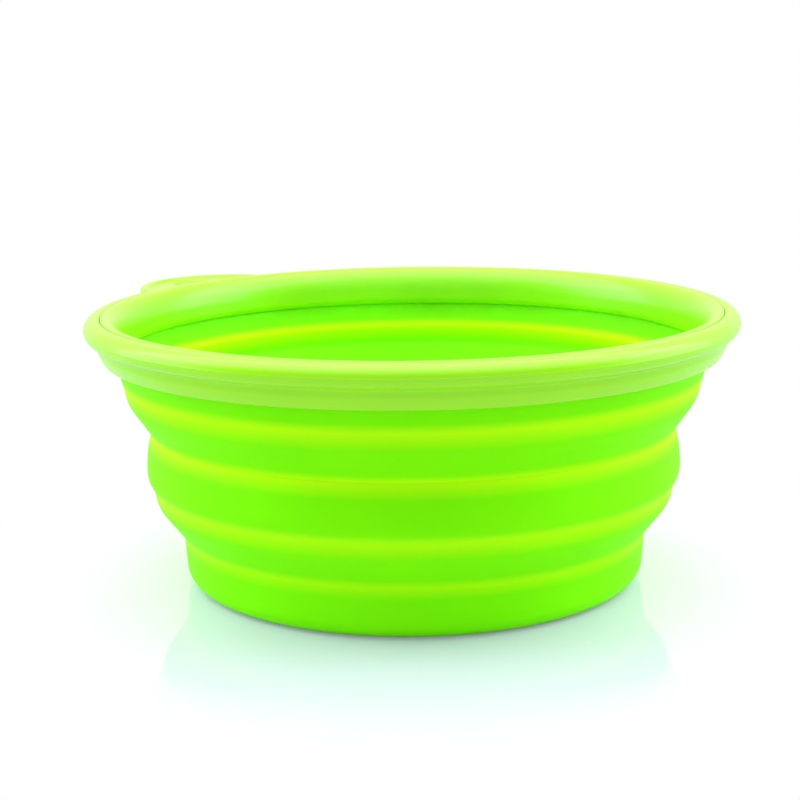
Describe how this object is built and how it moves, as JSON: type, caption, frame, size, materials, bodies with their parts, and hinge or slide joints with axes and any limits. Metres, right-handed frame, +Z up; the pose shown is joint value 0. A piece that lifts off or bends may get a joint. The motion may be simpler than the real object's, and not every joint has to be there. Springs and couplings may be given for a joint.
{
  "type": "collapsible pet bowl",
  "caption": "Round collapsible pet bowl: a stepped silicone cup that telescopes flat at its fold lines, clamped in a plastic rim of inner and outer rings with a holed hang tab.",
  "frame": {"origin": "centre of the flat underside of the base", "axes": "+Z up through the mouth; the side shown in the picture faces -Y; the hang tab points to -X +Y"},
  "size_m": [0.1294, 0.1294, 0.0543],
  "materials": {
    "silicone": "satin translucent silicone, lime green",
    "fold_silicone": "thin satin silicone that lets more light through, yellower green along the fold lines",
    "rim_plastic": "glossy pale lime plastic"
  },
  "bodies": {
    "base": {"base_cup": "silicone", "lower_fold_web": "fold_silicone"},
    "middle": {"middle_band": "silicone", "upper_fold_web": "fold_silicone"},
    "rim": {"upper_band": "silicone", "rim_outer_ring": "rim_plastic", "rim_inner_ring": "rim_plastic"}
  },
  "joints": [
    {"name": "lower_fold_collapse", "type": "slide", "parent": "base", "child": "middle", "axis": [0, 0, -1], "range_m": [0, 0.0195], "deforming": ["lower_fold_web"]},
    {"name": "upper_fold_collapse", "type": "slide", "parent": "middle", "child": "rim", "axis": [0, 0, -1], "range_m": [0, 0.0209], "deforming": ["upper_fold_web"]}
  ]
}
